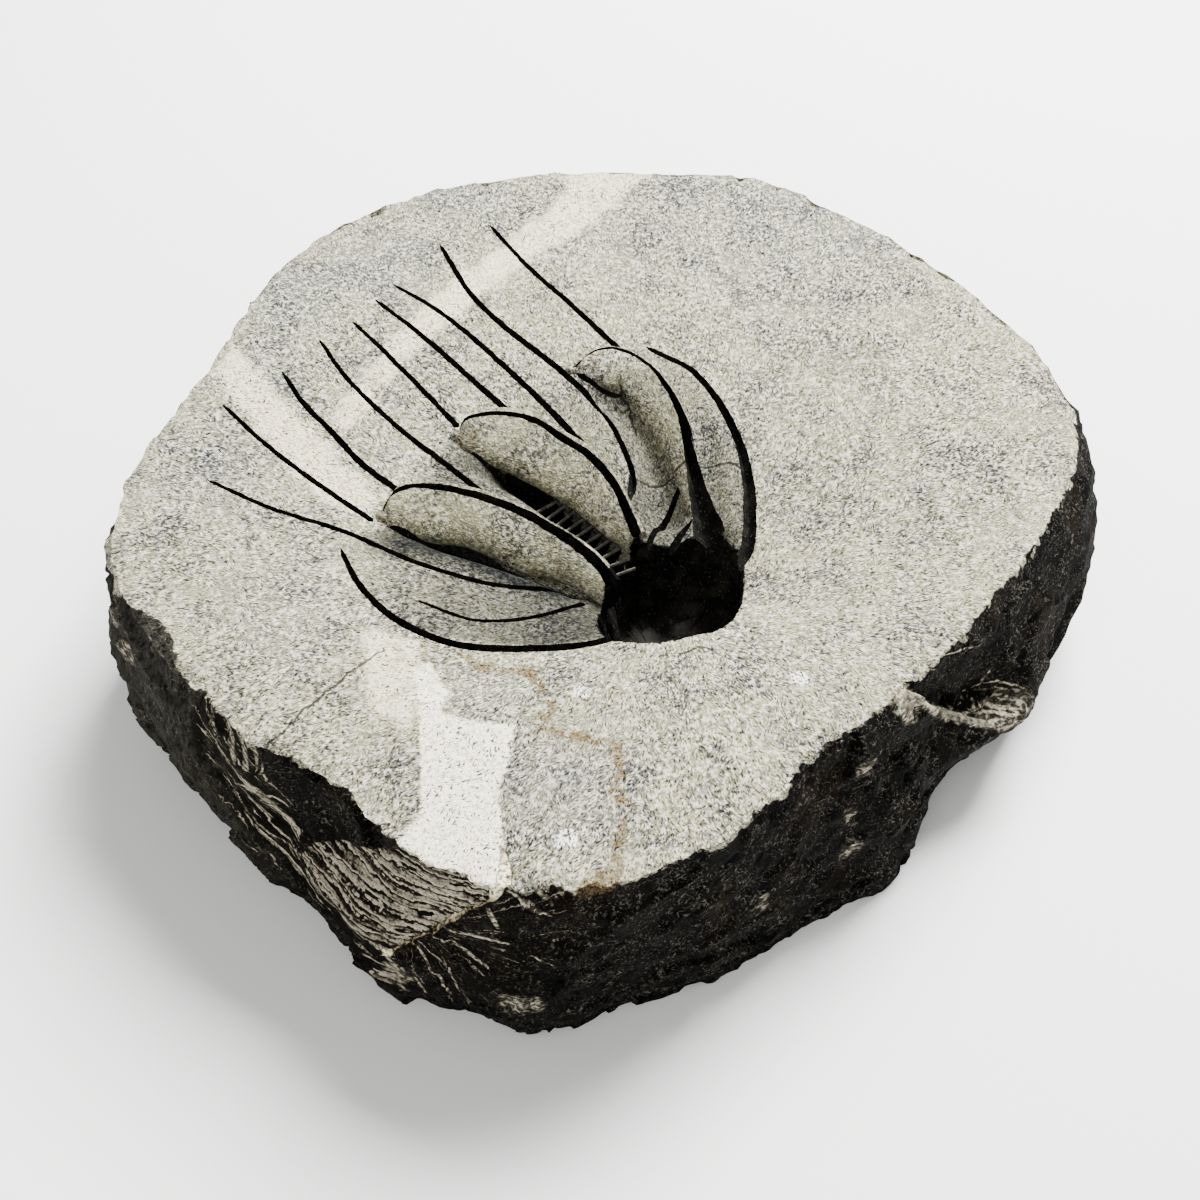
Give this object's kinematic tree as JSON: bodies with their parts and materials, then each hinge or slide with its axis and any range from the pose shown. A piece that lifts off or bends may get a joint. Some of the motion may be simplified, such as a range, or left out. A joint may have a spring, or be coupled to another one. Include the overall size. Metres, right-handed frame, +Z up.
{
  "type": "stone block with fossil-like relief",
  "caption": "Thick rounded block of dark crystalline stone; its dressed pale top dips to a black pit from which narrow grooves, raised lobes and a barred trough fan out.",
  "frame": {"origin": "middle of the block's box on the plan, at the height of its flat foot", "axes": "+Z up through the dressed top, the pit towards -Y, the grooves fanning towards -X and +Y"},
  "size_m": [0.6213, 0.6217, 0.14],
  "materials": {
    "stone": "dressed pale top with dark flecks, black grooves and pit, near-black broken sides"
  },
  "bodies": {
    "root": {"stone": "stone"}
  },
  "joints": []
}
